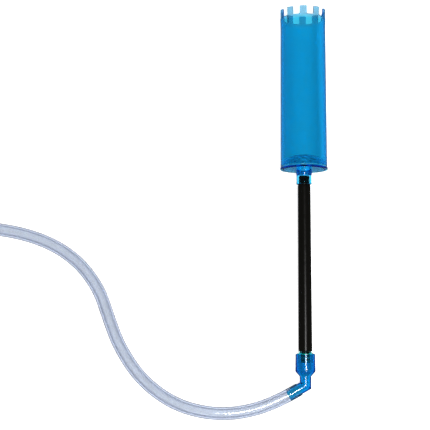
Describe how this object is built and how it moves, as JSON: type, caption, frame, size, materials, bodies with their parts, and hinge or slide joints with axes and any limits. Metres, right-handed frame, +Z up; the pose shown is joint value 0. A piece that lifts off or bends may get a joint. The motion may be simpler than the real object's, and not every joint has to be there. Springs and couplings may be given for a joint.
{
  "type": "gravel cleaner siphon",
  "caption": "Aquarium gravel cleaner: toothed translucent suction tube on a telescopic black rod, with an angled hose fitting and a clear siphon hose.",
  "frame": {"origin": "on the surface that the tool lies on, under the middle of its length (free hose left out)", "axes": "+Z up from the surface; +Y along the tool from the hose elbow to the toothed mouth, in plan; +X to the side away from the hose"},
  "size_m": [0.6358, 0.5153, 0.0723],
  "materials": {
    "blue_plastic": "clear glossy, tinted blue",
    "black_plastic": "glossy black",
    "guide_plastic": "natural acetal",
    "seal_rubber": "matt",
    "pale_blue_plastic": "clear glossy, lightly tinted blue",
    "smoke_plastic": "clear, smoke tinted",
    "clear_seal": "clear silicone, tinted blue",
    "clear_hose": "clear soft PVC",
    "tie_strap": "woven hook-and-loop"
  },
  "bodies": {
    "fitting": {"elbow_fitting": "blue_plastic", "rod_socket": "pale_blue_plastic", "rod_wiper": "seal_rubber", "hose": "clear_hose", "hose_coil": "clear_hose", "hose_tail": "clear_hose", "hose_end": "clear_hose", "hose_tie": "tie_strap"},
    "inner_stage": {"inner_rod": "smoke_plastic", "stop_collar": "guide_plastic", "fitting_o_ring_1": "seal_rubber", "fitting_o_ring_2": "seal_rubber"},
    "outer_stage": {"outer_rod": "black_plastic", "guide_bush": "guide_plastic", "gland_seal": "seal_rubber", "neck_o_ring_1": "seal_rubber", "neck_o_ring_2": "seal_rubber"},
    "gravel_head": {"gravel_tube": "blue_plastic", "tube_end_cap": "pale_blue_plastic", "cap_seal": "clear_seal", "strainer_dome": "pale_blue_plastic"}
  },
  "joints": [
    {"name": "rod_swivel", "type": "hinge", "parent": "fitting", "child": "inner_stage", "pos_m": [0, -0.22793, 0.0112], "axis": [0, 0.9977, 0.0682], "continuous": true},
    {"name": "rod_telescope", "type": "slide", "parent": "inner_stage", "child": "outer_stage", "axis": [0, 0.9977, 0.0682], "range_m": [0, 0.165]},
    {"name": "head_pull_off", "type": "slide", "parent": "outer_stage", "child": "gravel_head", "axis": [0, 0.9977, 0.0682], "range_m": [0, 0.03]}
  ]
}
